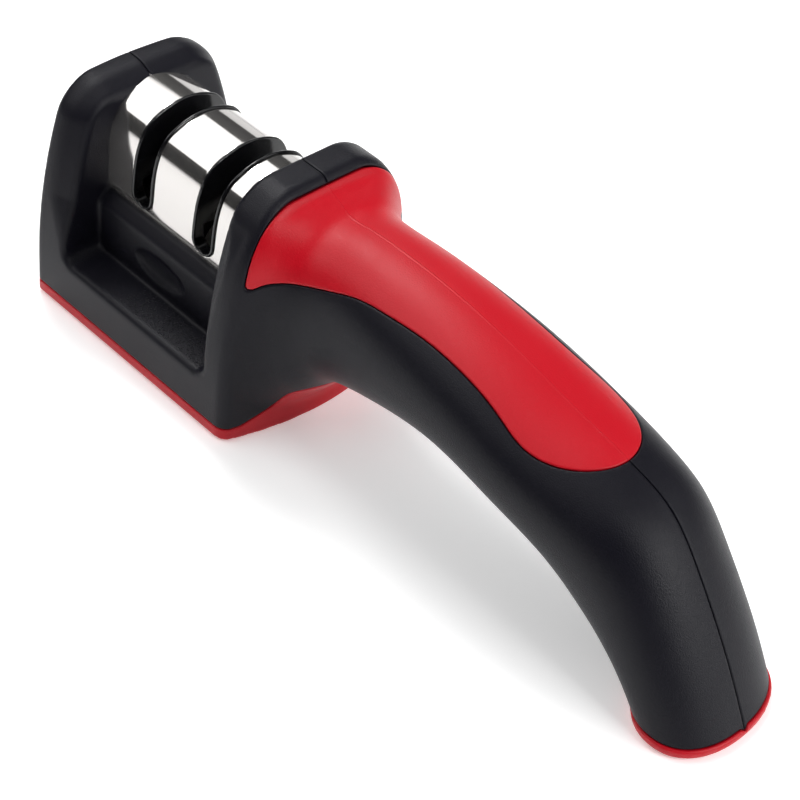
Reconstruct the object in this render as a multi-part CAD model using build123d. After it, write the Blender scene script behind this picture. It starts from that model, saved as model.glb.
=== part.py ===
"""Pull through knife sharpener with a handle.

A moulded head carries two knife slots under a bright steel cover.  Below each slot a pair of
bevelled wheels turns freely on a steel axle, and their bevels make the notch that the blade is
drawn through.  A handle leaves the back of the head, arches over the table and comes down to it.
The head and the handle are two half shells that meet in the middle plane, with a soft grip on
top, a soft pad under the head and a soft cap on the end of the handle.

Frame: millimetres, +Z up, the origin in the middle of the pad's foot, +X along the handle and
Y across.  The near shell is the one on -Y.  The object is the same on both sides of Y = 0.
"""
from build123d import *
import math
import os

# Head, seen from the side and from above
head_length = 61.2
head_width = 50.8
front_plate_height = 50.2
rear_plate_height = 54.4
front_bow = 2.6
rear_bow = 4.4
rear_face_lean = 7.2
plate_straight = 10.0
plate_side_radius = 102.0
plate_corner_radius = 6.5
plate_crown = 0.5

# Gap between the two plates, where the knife and the steel cover are
gap_floor_height = 13.0
gap_front_setback = 11.0
gap_front_draft = 6.9
gap_rear_setback = 6.2
gap_rear_draft = 4.9
gap_corner_radius = 3.0
front_plate_chamfer = 3.2

# Housing between the two side recesses
housing_foot_width = 31.6
housing_shoulder_width = 30.8
housing_shoulder_height = 24.5
housing_top_height = 27.0
dimple_length = 15.0
dimple_height = 6.0
dimple_depth = 0.8
dimple_lift = 5.6

# Handle
handle_length = 117.1
handle_width = 33.8
handle_height = 54.4
grip_thickness = 2.0
shell_wall = 2.2
cap_height = 3.0
cap_lip = 0.4
cap_plug_depth = 6.0
plug_clearance = 0.1

# Shell floor, base plate and pad
pad_thickness = 3.0
pad_tail_length = 11.4
pad_tail_height = 13.4
base_plate_thickness = 2.0
base_plate_clearance = 0.15
skirt_wall = 2.6
boss_radius = 3.0
boss_inset = 3.4

# Steel cover
cover_thickness = 0.5
cover_foot_width = 26.2
cover_bend_width = 24.0
cover_bend_height = 43.0
cover_crown_height = 48.5
cover_bend_radius = 3.6
cover_foot_depth = 5.0
cover_seat_depth = 3.6
cover_clearance = 0.1

# Knife slots and their liners
slot_setback = 18.9
slot_pitch = 19.1
slot_width = 5.0
slot_floor_height = 28.9
liner_wall = 0.7
liner_proud = 0.5
liner_flange_width = 0.9
liner_flange_thickness = 0.8
liner_flange_play = 0.05
liner_window_play = 0.4

# Wheels, bushes, axles and washers
wheel_radius = 9.5
wheel_notch_radius = 6.6
wheel_width = 4.0
wheel_gap = 0.3
notch_lift = 0.9
notch_half_angle = 18.0
bush_radius = 3.2
axle_radius = 1.5
axle_seat_length = 3.0
running_clearance = 0.05
washer_radius = 3.0
washer_thickness = 0.5
washer_play = 0.15
wheel_clearance = 0.5

# Wheel cradle and the keeper that holds the axles down
cradle_side_gap = 0.3
cradle_end_wall = 4.0
cradle_well_depth = 1.2
cradle_floor = 1.5
cradle_wall = 1.6
keeper_thickness = 2.6
seat_clearance = 0.02

# Fasteners and locating pegs
screw_radius = 1.0
screw_length = 8.0
screw_head_radius = 1.9
screw_head_height = 1.3
screw_recess_radius = 0.9
screw_recess_width = 0.5
screw_recess_depth = 0.7
screw_clearance = 0.1
keeper_screw_spread = 16.0
peg_radius = 1.2
peg_length = 3.0
peg_clearance = 0.1

# How far cutting shapes run past what they cut
overrun = 5.0

# Handle stations.  Each section stands on a line in the middle plane, from a point on the
# underside to a point on the top.  X is a share of the handle's length behind the head, Z a
# share of the handle's height, and the width a share of the handle's width.  The last
# number is the squareness of the section: 2 is an ellipse, and more is squarer.  The last
# section is below the table, and the handle is cut off level with it.
station_shares = [
    ((-0.048, 0.846), (-0.031, 0.090), 1.30, 4.0),
    ((-0.006, 0.930), (0.003, 0.110), 1.18, 3.4),
    ((0.028, 0.910), (0.048, 0.138), 1.02, 2.8),
    ((0.075, 0.912), (0.085, 0.232), 0.91, 2.4),
    ((0.152, 0.919), (0.149, 0.316), 0.90, 2.3),
    ((0.251, 0.912), (0.232, 0.368), 0.935, 2.2),
    ((0.403, 0.866), (0.367, 0.421), 0.97, 2.2),
    ((0.553, 0.796), (0.506, 0.382), 1.00, 2.2),
    ((0.681, 0.743), (0.626, 0.298), 0.965, 2.2),
    ((0.820, 0.539), (0.727, 0.169), 0.92, 2.2),
    ((0.920, 0.258), (0.789, 0.075), 0.915, 2.2),
    ((1.016, -0.115), (0.862, -0.115), 0.905, 2.2),
]
section_steps = 12
join_tolerance = 0.0001
cavity_start_number = 3
peg_station_numbers = (5, 7, 9)
head_peg_setback = 3.6
head_peg_height = 17.0
root_peg_height = 30.0

# Edge of the soft grip.  From above: X as a share of the handle's length behind the head, and
# half the grip's width as a share of half the handle's width.
grip_plan_shares = [
    (-0.040, 1.54),
    (0.041, 1.14),
    (0.110, 0.775),
    (0.167, 0.715),
    (0.274, 0.655),
    (0.355, 0.640),
    (0.424, 0.657),
    (0.482, 0.705),
    (0.540, 0.740),
    (0.585, 0.669),
    (0.626, 0.465),
]
grip_end_share = 0.656

# From the side, behind the tip that lies on the rear plate: X as above, Z as a share of the
# handle's height.
grip_tip_share = 0.640
grip_side_shares = [
    (0.005, 0.700),
    (0.026, 0.732),
    (0.064, 0.756),
    (0.110, 0.783),
    (0.167, 0.800),
    (0.300, 0.790),
]
grip_band_width = 8.2
grip_tip_radius = 1.2

# Upper edge of the pad's tail, from its start at the head's rear edge to its tip: shares of
# the tail's length and of its rise above the pad.
pad_tail_shares = [
    (0.00, 0.00),
    (0.18, 0.30),
    (0.40, 0.72),
    (0.60, 0.92),
    (1.00, 1.00),
]

# Places that follow from the sizes above
front_x = -head_length / 2
rear_x = head_length / 2
half_width = head_width / 2
plate_top = max(front_plate_height, rear_plate_height)
gap_front_foot_x = front_x + gap_front_setback
gap_rear_foot_x = rear_x - gap_rear_setback
coarse_slot_x = front_x + slot_setback
fine_slot_x = coarse_slot_x + slot_pitch
slot_places = {"coarse": coarse_slot_x, "fine": fine_slot_x}
liner_half_width = slot_width / 2 + liner_wall
axle_height = slot_floor_height + notch_lift - wheel_notch_radius
well_half_length = wheel_gap / 2 + wheel_width + washer_play + washer_thickness
base_plate_top = pad_thickness + base_plate_thickness
skirt_ceiling = gap_floor_height - skirt_wall
cover_foot_height = housing_top_height - cover_foot_depth
cover_front_x = gap_front_foot_x - gap_front_draft - cover_seat_depth / 2
cover_rear_x = gap_rear_foot_x + cover_seat_depth / 2 - gap_rear_draft / 2
centre_cavity_half_width = cover_foot_width / 2 - 2 * cover_thickness
cradle_half_width = centre_cavity_half_width - cradle_side_gap
well_half_width = wheel_radius + wheel_clearance
cradle_front_x = coarse_slot_x - well_half_length - cradle_end_wall
cradle_rear_x = fine_slot_x + well_half_length + cradle_end_wall
keeper_top = axle_height + keeper_thickness
cavity_inset = grip_thickness + shell_wall


def box_between(low, high):
    """A box from its lowest corner to its highest."""
    size = [b - a for a, b in zip(low, high)]
    centre = [(a + b) / 2 for a, b in zip(low, high)]
    return Pos(*centre) * Box(*size)


def rod_x(radius, start, end, y, z):
    """A round bar along X."""
    return Pos((start + end) / 2, y, z) * Rot(0, 90, 0) * Cylinder(radius, end - start)


def rod_z(radius, low, high, x, y):
    """A round bar along Z."""
    return Pos(x, y, (low + high) / 2) * Cylinder(radius, high - low)


def prism_y(outline, half_depth):
    """An outline drawn in X and Z, made as deep as asked on both sides of the middle plane."""
    return extrude(Plane.XZ * outline, half_depth, both=True)


def prism_x(outline, start, end):
    """An outline drawn in Y and Z, carried from one X to another."""
    return extrude(Plane.YZ.offset(start) * outline, end - start)


def side_half_width(height):
    """Half the width of a plate at a height: straight, then drawn in along a large arc."""
    rise = max(height - plate_straight, 0)
    return half_width - plate_side_radius + math.sqrt(plate_side_radius**2 - rise**2)


def plate_outline(height):
    """A plate seen from the end of the head: straight foot, drawn in sides, crowned top."""
    shoulder = height - plate_crown
    middle = (plate_straight + shoulder) / 2
    with BuildSketch() as outline:
        with BuildLine():
            Line((0, 0), (half_width, 0))
            Line((half_width, 0), (half_width, plate_straight))
            ThreePointArc(
                (half_width, plate_straight),
                (side_half_width(middle), middle),
                (side_half_width(shoulder), shoulder),
            )
            ThreePointArc(
                (side_half_width(shoulder), shoulder),
                (0, height),
                (-side_half_width(shoulder), shoulder),
            )
            ThreePointArc(
                (-side_half_width(shoulder), shoulder),
                (-side_half_width(middle), middle),
                (-half_width, plate_straight),
            )
            Line((-half_width, plate_straight), (-half_width, 0))
            Line((-half_width, 0), (0, 0))
        make_face()
        corners = outline.vertices().filter_by_position(Axis.Y, shoulder - plate_crown, height)
        fillet(corners, plate_corner_radius)
    return outline.sketch


def head_plan():
    """The head seen from above: flat sides, and a front and a back that bow out."""
    with BuildSketch() as plan:
        with BuildLine():
            ThreePointArc((front_x, half_width), (front_x - front_bow, 0), (front_x, -half_width))
            Line((front_x, -half_width), (rear_x, -half_width))
            ThreePointArc((rear_x, -half_width), (rear_x + rear_bow, 0), (rear_x, half_width))
            Line((rear_x, half_width), (front_x, half_width))
        make_face()
    return plan.sketch


def gap_outline():
    """The gap between the plates from the side: both plates have draft on their inner faces."""
    top = plate_top + overrun
    front_slope = gap_front_draft / front_plate_height
    rear_slope = gap_rear_draft / rear_plate_height
    with BuildSketch() as outline:
        with BuildLine():
            Polyline(
                (gap_front_foot_x - front_slope * gap_floor_height, gap_floor_height),
                (gap_rear_foot_x - rear_slope * gap_floor_height, gap_floor_height),
                (gap_rear_foot_x - rear_slope * top, top),
                (gap_front_foot_x - front_slope * top, top),
                close=True,
            )
        make_face()
        fillet(outline.vertices().group_by(Axis.Y)[0], gap_corner_radius)
    return outline.sketch


def housing_outline():
    """The housing between the recesses from the end: upright walls under a sloping ledge."""
    with BuildSketch() as outline:
        with BuildLine():
            Polyline(
                (-housing_foot_width / 2, 0),
                (housing_foot_width / 2, 0),
                (housing_shoulder_width / 2, housing_shoulder_height),
                (cover_foot_width / 2, housing_top_height),
                (-cover_foot_width / 2, housing_top_height),
                (-housing_shoulder_width / 2, housing_shoulder_height),
                close=True,
            )
        make_face()
    return outline.sketch


def cover_outline(grow=0, foot_height=cover_foot_height):
    """The steel cover from the end, filled: leaning sides, a bend and a crowned top."""
    lean = (cover_foot_width - cover_bend_width) / 2 / (cover_bend_height - cover_foot_height)
    bend = cover_bend_width / 2 + grow
    foot = bend + lean * (cover_bend_height + grow - foot_height)
    with BuildSketch() as outline:
        with BuildLine():
            Polyline(
                (-bend, cover_bend_height + grow),
                (-foot, foot_height),
                (foot, foot_height),
                (bend, cover_bend_height + grow),
            )
            ThreePointArc(
                (bend, cover_bend_height + grow),
                (0, cover_crown_height + grow),
                (-bend, cover_bend_height + grow),
            )
        make_face()
        bends = outline.vertices().group_by(Axis.Y)[-1]
        fillet(bends, cover_bend_radius + grow)
    return outline.sketch


def slot_outline(x, half, floor):
    """A knife slot from the side: upright walls and a round bottom."""
    top = cover_crown_height + overrun
    with BuildSketch() as outline:
        with Locations((x, (floor + half + top) / 2)):
            Rectangle(2 * half, top - floor - half)
        with Locations((x, floor + half)):
            Circle(half)
    return outline.sketch


def station_points(number, inset=0):
    """The top and bottom of a handle section, moved in along the section's own line."""
    top_share, under_share, width_share, squareness = station_shares[number]
    top = Vector(rear_x + top_share[0] * handle_length, 0, top_share[1] * handle_height)
    under = Vector(rear_x + under_share[0] * handle_length, 0, under_share[1] * handle_height)
    upward = (top - under).normalized()
    half = width_share * handle_width / 2 - inset
    return top - upward * inset, under + upward * inset, half, squareness


def handle_section(number, inset=0):
    """One section of the handle: a smooth curve down each side, between a circle and a box."""
    top, under, half, squareness = station_points(number, inset)
    centre = (top + under) * 0.5
    rise = (top - under) * 0.5
    power = 2 / squareness
    knots = [step / section_steps for step in range(section_steps + 1)]
    curves = []
    for side in (1, -1):
        points = [top]
        for step in range(1, section_steps):
            angle = math.pi * step / section_steps
            across = math.sin(angle) ** power
            upward = math.copysign(abs(math.cos(angle)) ** power, math.cos(angle))
            points.append(centre + rise * upward + Vector(0, side * half * across, 0))
        points.append(under)
        ordered = points if side > 0 else points[::-1]
        outward = Vector(0, side, 0)
        curves.append(Edge.make_spline(ordered, tangents=[outward, -outward], parameters=knots))
    return Face(Wire(Wire.combine(curves, join_tolerance)[0].edges()))


def handle_form(inset=0, first=0):
    """The handle as one smooth solid through its sections."""
    numbers = range(first, len(station_shares))
    return loft([handle_section(number, inset) for number in numbers])


def front_plate_shaving():
    """What the bevel takes off the front plate's inner rim, down to just above the gap's floor."""
    outline = plate_outline(front_plate_height)
    plate = prism_x(outline, front_x - front_bow - overrun, gap_front_foot_x)
    plate &= extrude(head_plan(), plate_top)
    slope = gap_front_draft / front_plate_height
    reach = plate_top + overrun
    with BuildSketch() as keep:
        with BuildLine():
            Polyline(
                (front_x - front_bow - overrun, -overrun),
                (gap_front_foot_x + slope * overrun, -overrun),
                (gap_front_foot_x - slope * reach, reach),
                (front_x - front_bow - overrun, reach),
                close=True,
            )
        make_face()
    plate &= prism_y(keep.sketch, head_width)
    inner_face = plate.faces().sort_by(Axis.X)[-1]
    rim = inner_face.edges().filter_by_position(Axis.Z, plate_straight, plate_top)
    shaving = plate - chamfer(rim, front_plate_chamfer)
    lowest = gap_floor_height + gap_corner_radius
    low = (front_x - front_bow, -head_width, lowest)
    high = (gap_front_foot_x + overrun, head_width, plate_top)
    return shaving & box_between(low, high)


def head_form():
    """The head as one solid: two plates, the floor between them and the housing."""
    middle = (gap_front_foot_x + gap_rear_foot_x) / 2
    reach = rear_x + rear_bow + overrun
    front = prism_x(plate_outline(front_plate_height), front_x - front_bow - overrun, middle)
    front &= extrude(head_plan(), plate_top)
    front -= front_plate_shaving()
    rear = prism_x(plate_outline(rear_plate_height), middle, reach)
    lean = Vector(-rear_face_lean, 0, rear_plate_height)
    rear &= extrude(head_plan(), lean.length, dir=lean)
    gap = prism_y(gap_outline(), half_width + overrun)
    gap -= prism_x(housing_outline(), front_x, rear_x)
    return front + rear - gap


def grip_region():
    """Where the soft grip lies: inside its outline from above and above its edge from the side."""
    plan = []
    for along, across in grip_plan_shares:
        plan.append((rear_x + along * handle_length, across * handle_width / 2))
    end = (rear_x + grip_end_share * handle_length, 0)
    mirrored = [(x, -y) for x, y in reversed(plan)]
    with BuildSketch() as from_above:
        with BuildLine():
            Spline(*plan, end, *mirrored)
            Line(mirrored[-1], plan[0])
        make_face()
    side = []
    for along, up in grip_side_shares:
        side.append((rear_x + along * handle_length, up * handle_height))
    slope = gap_rear_draft / rear_plate_height
    tip_height = grip_tip_share * handle_height
    tip = (gap_rear_foot_x + grip_band_width - slope * tip_height, tip_height)
    top_height = plate_top + overrun
    top = (gap_rear_foot_x + grip_band_width - slope * top_height, top_height)
    far_x = rear_x + handle_length
    with BuildSketch() as from_side:
        with BuildLine():
            Spline(tip, *side)
            Polyline(side[-1], (far_x, side[-1][1] / 2), (far_x, top_height), top, tip)
        make_face()
        fillet(from_side.vertices().group_by(Axis.X)[1], grip_tip_radius)
    return extrude(from_above.sketch, top_height) & prism_y(from_side.sketch, head_width)


def pad_region():
    """Where the soft pad lies: a layer under the head that rises behind it under the handle."""
    rise = pad_tail_height - pad_thickness
    tail = []
    for along, up in pad_tail_shares:
        tail.append((rear_x + along * pad_tail_length, pad_thickness + up * rise))
    start_x = front_x - front_bow - overrun
    with BuildSketch() as outline:
        with BuildLine():
            Spline(*tail)
            Polyline(tail[-1], (tail[-1][0], -overrun), (start_x, -overrun))
            Polyline((start_x, -overrun), (start_x, pad_thickness), tail[0])
        make_face()
    return prism_y(outline.sketch, head_width)


def cap_region():
    """Where the soft cap lies: the last few millimetres of the handle above the table."""
    low = (rear_x + pad_tail_length + overrun, -head_width, 0)
    high = (rear_x + handle_length + overrun, head_width, cap_height)
    return box_between(low, high)


def screw(x, y, seat, pointing):
    """A pan head screw with a cross recess: its head sits at seat and it points up or down."""
    head = rod_z(screw_head_radius, -screw_head_height, 0, 0, 0)
    shank = rod_z(screw_radius, 0, screw_length, 0, 0)
    recess_centre = -screw_head_height + screw_recess_depth / 2
    long_way = 2 * screw_recess_radius
    slot = Pos(0, 0, recess_centre) * Box(long_way, screw_recess_width, screw_recess_depth)
    blank = head + shank - slot - Rot(0, 0, 90) * slot
    turn = Rot(0, 0, 0) if pointing > 0 else Rot(180, 0, 0)
    return Pos(x, y, seat) * turn * blank


def base_screw_places():
    """The screws under the head: one in each corner, and one in each end of the cradle."""
    corner_x = half_width - skirt_wall - boss_inset
    places = []
    for x in (front_x + skirt_wall + boss_inset, rear_x - skirt_wall - boss_inset):
        places += [(x, -corner_x), (x, corner_x)]
    ends = [
        (cradle_front_x + cradle_end_wall / 2, 0),
        (cradle_rear_x - cradle_end_wall / 2, 0),
    ]
    return places, ends


def keeper_screw_places():
    """The screws that hold the keeper down: two over each end of the cradle."""
    places = []
    for x in (cradle_front_x + cradle_end_wall / 2, cradle_rear_x - cradle_end_wall / 2):
        places += [(x, -keeper_screw_spread / 2), (x, keeper_screw_spread / 2)]
    return places


def peg_places():
    """Where the two half shells locate on each other."""
    places = [
        (front_x + head_peg_setback, head_peg_height),
        (rear_x, root_peg_height),
    ]
    for number in peg_station_numbers:
        under = station_points(number, cavity_inset / 2)[1]
        places.append((under.X, under.Z))
    return places


def peg(radius, start, end, place):
    """A round peg across the middle plane."""
    middle = Pos(place[0], (start + end) / 2, place[1])
    return middle * Rot(90, 0, 0) * Cylinder(radius, end - start)


def wheel_wells():
    """The room that each pair of wheels turns in."""
    wells = []
    floor = axle_height - wheel_radius - cradle_well_depth
    for x in slot_places.values():
        low = (x - well_half_length, -well_half_width, floor)
        high = (x + well_half_length, well_half_width, keeper_top + overrun)
        wells.append(box_between(low, high))
    return wells


def axle_ends(x):
    """The two ends of an axle, in the cradle's walls."""
    reach = well_half_length + axle_seat_length
    return x - reach, x + reach


def skirt_room():
    """The room inside the head's skirt, above the pad and below the side recesses."""
    plan = offset(head_plan(), -skirt_wall)
    return Pos(0, 0, pad_thickness) * extrude(plan, skirt_ceiling - pad_thickness)


def make_base_pad(form):
    """The soft pad under the head, outside the skirt's room."""
    return (form & pad_region()) - skirt_room()


def make_shells(form, grip, pad):
    """The two half shells: the black body without grip, pad, cap, and all that lies inside."""
    body = form - grip - pad - cap_region()
    cavity = handle_form(cavity_inset, cavity_start_number)
    body -= cavity - cap_region()
    hollow = skirt_room()
    corners, ends = base_screw_places()
    for x, y in corners:
        hollow -= rod_z(boss_radius, base_plate_top, skirt_ceiling, x, y)
    body -= hollow
    for x, y in corners:
        hole_top = pad_thickness + screw_head_height + screw_length + screw_clearance
        body -= rod_z(screw_radius + seat_clearance, base_plate_top, hole_top, x, y)
    low = (cradle_front_x - cradle_side_gap, -centre_cavity_half_width, 0)
    high = (cradle_rear_x + cradle_side_gap, centre_cavity_half_width, housing_top_height)
    body -= box_between(low, high)
    cover_room = cover_outline(cover_clearance, cover_foot_height)
    body -= prism_x(cover_room, cover_front_x - cover_clearance, cover_rear_x + cover_clearance)
    dimple = scale(Sphere(1), by=(dimple_length / 2, dimple_depth, dimple_height / 2))
    dimple_x = (cradle_front_x + cradle_rear_x) / 2
    for side in (-1, 1):
        wall_y = side * housing_shoulder_width / 2
        body -= Pos(dimple_x, wall_y, gap_floor_height + dimple_lift) * dimple
    reach = head_width
    left = body & Pos(0, -reach / 2, 0) * Box(4 * handle_length, reach, 4 * plate_top)
    right = body & Pos(0, reach / 2, 0) * Box(4 * handle_length, reach, 4 * plate_top)
    for place in peg_places():
        left += peg(peg_radius, -peg_radius, peg_length, place)
        right -= peg(peg_radius + peg_clearance, -overrun, peg_length + peg_clearance, place)
    return left, right


def make_end_cap():
    """The soft cap: a slice of the handle with a small lip, and a plug that fills the end."""
    cap = handle_form(-cap_lip) & cap_region()
    plug = handle_form(cavity_inset + plug_clearance, cavity_start_number)
    low = (rear_x + pad_tail_length + overrun, -head_width, cap_height / 2)
    high = (rear_x + handle_length, head_width, cap_height + cap_plug_depth)
    return cap + (plug & box_between(low, high))


def make_base_plate():
    """The plate that closes the head from below, with its screw heads let in."""
    plan = offset(head_plan(), -skirt_wall - base_plate_clearance)
    plate = Pos(0, 0, pad_thickness) * extrude(plan, base_plate_thickness)
    seat = pad_thickness + screw_head_height
    corners, ends = base_screw_places()
    for x, y in corners + ends:
        plate -= rod_z(screw_radius + screw_clearance, seat, base_plate_top, x, y)
        plate -= rod_z(screw_head_radius + screw_clearance, pad_thickness, seat, x, y)
    return plate


def make_base_screws():
    """The screws under the base plate."""
    corners, ends = base_screw_places()
    seat = pad_thickness + screw_head_height
    return [screw(x, y, seat, 1) for x, y in corners + ends]


def make_steel_cover():
    """A bent sheet over the head with a window for each slot."""
    outer = prism_x(cover_outline(), cover_front_x, cover_rear_x)
    inner = cover_outline(-cover_thickness, cover_foot_height - overrun)
    cover = outer - prism_x(inner, cover_front_x, cover_rear_x)
    floor = slot_floor_height - liner_wall - cover_clearance
    for x in slot_places.values():
        window = slot_outline(x, liner_half_width + cover_clearance, floor)
        cover -= prism_y(window, head_width)
    return cover


def make_slot_liner(x):
    """A slot's liner: a lip through the steel, a flange under it and two feet on the keeper."""
    bottom = slot_floor_height - liner_wall
    lip = prism_y(slot_outline(x, liner_half_width, bottom), head_width)
    lip &= prism_x(cover_outline(liner_proud), cover_front_x, cover_rear_x)
    under_steel = -cover_thickness - liner_flange_play
    below_flange = under_steel - liner_flange_thickness
    wide = liner_half_width + liner_flange_width
    flange = prism_y(slot_outline(x, wide, bottom - liner_flange_width), head_width)
    flange &= prism_x(cover_outline(under_steel), cover_front_x, cover_rear_x)
    flange -= prism_x(cover_outline(below_flange), cover_front_x, cover_rear_x)
    liner = lip + flange
    for side in (-1, 1):
        inside = side * well_half_width
        outside = side * cradle_half_width
        low = (x - liner_half_width, min(inside, outside), keeper_top)
        high = (x + liner_half_width, max(inside, outside), slot_floor_height + liner_wall)
        liner += box_between(low, high)
    liner -= prism_y(slot_outline(x, slot_width / 2, slot_floor_height), head_width)
    drop = bottom - axle_height
    window = math.sqrt(wheel_radius**2 - drop**2) + liner_window_play
    low = (x - wide - overrun, -window, 0)
    high = (x + wide + overrun, window, axle_height + wheel_radius + liner_window_play)
    return liner - box_between(low, high)


def make_wheel(x, side):
    """A grinding wheel on one side of a notch, bevelled towards the other wheel."""
    near = wheel_gap / 2
    bevel = (wheel_radius - wheel_notch_radius) * math.tan(math.radians(notch_half_angle))
    far = near + wheel_width
    with BuildSketch(Plane.XZ) as profile:
        with BuildLine():
            Polyline(
                (side * near, bush_radius),
                (side * near, wheel_notch_radius),
                (side * (near + bevel), wheel_radius),
                (side * far, wheel_radius),
                (side * far, bush_radius),
                close=True,
            )
        make_face()
    return Pos(x, 0, axle_height) * revolve(profile.sketch, Axis.X)


def make_bush(x, side):
    """The plain bush in a wheel, with a running fit on the axle."""
    near = x + side * wheel_gap / 2
    far = near + side * wheel_width
    start, end = min(near, far), max(near, far)
    bush = rod_x(bush_radius, start, end, 0, axle_height)
    return bush - rod_x(axle_radius + running_clearance, start, end, 0, axle_height)


def make_axle(x):
    """A steel axle, held at both ends between the cradle and the keeper."""
    start, end = axle_ends(x)
    return rod_x(axle_radius, start, end, 0, axle_height)


def make_washers(x):
    """The two washers that keep a pair of wheels off the cradle's walls."""
    washers = []
    for side in (-1, 1):
        wall = x + side * well_half_length
        face = wall - side * washer_thickness
        start, end = min(wall, face), max(wall, face)
        ring = rod_x(washer_radius, start, end, 0, axle_height)
        washers.append(ring - rod_x(axle_radius + seat_clearance, start, end, 0, axle_height))
    return washers


def make_wheel_cradle():
    """The block under the slots: two wells, half round axle seats and a pocket below."""
    low = (cradle_front_x, -cradle_half_width, base_plate_top)
    high = (cradle_rear_x, cradle_half_width, axle_height)
    cradle = box_between(low, high)
    for well in wheel_wells():
        cradle -= well
    pocket_top = axle_height - wheel_radius - cradle_well_depth - cradle_floor
    pocket_half = cradle_half_width - cradle_wall
    low = (cradle_front_x + cradle_end_wall, -pocket_half, base_plate_top - overrun)
    high = (cradle_rear_x - cradle_end_wall, pocket_half, pocket_top)
    cradle -= box_between(low, high)
    for x in slot_places.values():
        start, end = axle_ends(x)
        cradle -= rod_x(axle_radius + seat_clearance, start, end, 0, axle_height)
    hole = screw_radius + seat_clearance
    for x, y in keeper_screw_places():
        bottom = keeper_top - screw_length - screw_clearance
        cradle -= rod_z(hole, bottom, axle_height + overrun, x, y)
    corners, ends = base_screw_places()
    for x, y in ends:
        top = pad_thickness + screw_head_height + screw_length + screw_clearance
        cradle -= rod_z(hole, base_plate_top - overrun, top, x, y)
    return cradle


def make_axle_keeper():
    """The frame that closes the axle seats from above."""
    low = (cradle_front_x, -cradle_half_width, axle_height)
    high = (cradle_rear_x, cradle_half_width, keeper_top)
    keeper = box_between(low, high)
    for well in wheel_wells():
        keeper -= well
    for x in slot_places.values():
        start, end = axle_ends(x)
        keeper -= rod_x(axle_radius + seat_clearance, start, end, 0, axle_height)
    for x, y in keeper_screw_places():
        keeper -= rod_z(screw_radius + screw_clearance, 0, keeper_top + overrun, x, y)
    return keeper


def make_keeper_screws():
    """The screws through the keeper."""
    return [screw(x, y, keeper_top, -1) for x, y in keeper_screw_places()]


def make_parts():
    """Every piece of the sharpener, by name."""
    above_table = (4 * handle_length, 4 * head_width, 2 * plate_top)
    form = head_form() + handle_form()
    form &= Pos(0, 0, plate_top) * Box(*above_table)
    grip = (form & grip_region()) - handle_form(grip_thickness)
    pad = make_base_pad(form)
    left_shell, right_shell = make_shells(form, grip, pad)
    parts = {
        "left_shell": left_shell,
        "right_shell": right_shell,
        "grip_inlay": grip,
        "base_pad": pad,
        "end_cap": make_end_cap(),
        "base_plate": make_base_plate(),
        "base_screws": make_base_screws(),
        "steel_cover": make_steel_cover(),
        "wheel_cradle": make_wheel_cradle(),
        "axle_keeper": make_axle_keeper(),
        "keeper_screws": make_keeper_screws(),
    }
    for stage, x in slot_places.items():
        parts[f"{stage}_slot_liner"] = make_slot_liner(x)
        parts[f"{stage}_axle"] = make_axle(x)
        parts[f"{stage}_washers"] = make_washers(x)
        for place, side in (("front", -1), ("rear", 1)):
            parts[f"{stage}_{place}_wheel"] = make_wheel(x, side)
            parts[f"{stage}_{place}_bush"] = make_bush(x, side)
    return parts


def write_parts():
    """One STEP file for each piece."""
    os.makedirs("parts", exist_ok=True)
    for name, shape in make_parts().items():
        solids = shape if isinstance(shape, list) else [shape]
        export_step(Compound(children=[piece for piece in solids]), f"parts/{name}.step")


if __name__ == "__main__":
    write_parts()
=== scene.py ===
"""Pull through knife sharpener with a handle, dressed for Blender 4.5.

The black body, the soft grip, the pad and the cap are cut from one moulded form, which is worked
out below as a field of distances in millimetres.  The steel cover, the slot liners and the pieces
under them follow, each in its own section, in the order in which the real one is put together.
"""

import bpy
import math
import numpy as np
from mathutils import Matrix, Vector


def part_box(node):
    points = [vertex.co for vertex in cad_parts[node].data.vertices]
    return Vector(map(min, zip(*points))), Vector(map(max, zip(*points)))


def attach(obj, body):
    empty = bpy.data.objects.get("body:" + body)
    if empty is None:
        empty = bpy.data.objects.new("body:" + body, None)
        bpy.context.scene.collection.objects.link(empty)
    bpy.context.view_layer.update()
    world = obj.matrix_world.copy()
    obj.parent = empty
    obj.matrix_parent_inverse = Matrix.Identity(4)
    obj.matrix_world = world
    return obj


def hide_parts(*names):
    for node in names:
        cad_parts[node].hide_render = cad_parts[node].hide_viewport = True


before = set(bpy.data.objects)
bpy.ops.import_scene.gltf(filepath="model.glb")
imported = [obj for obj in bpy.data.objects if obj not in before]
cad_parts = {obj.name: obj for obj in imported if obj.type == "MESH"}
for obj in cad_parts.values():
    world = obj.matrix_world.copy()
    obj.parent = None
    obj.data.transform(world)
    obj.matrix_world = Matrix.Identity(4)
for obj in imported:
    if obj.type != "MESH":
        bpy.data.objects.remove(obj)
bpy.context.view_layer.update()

# Camera.  It stands where the photograph was taken from: above the near side of the handle, a
# little more than 40 cm away, and rolled so that the table's edge isn't level.
camera_place = (0.22474, -0.21327, 0.26751)
camera_azimuth = 38.67
camera_elevation = 42.71
camera_roll = 9.46
camera_lens = 83.85
camera_film = 36.0

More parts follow.
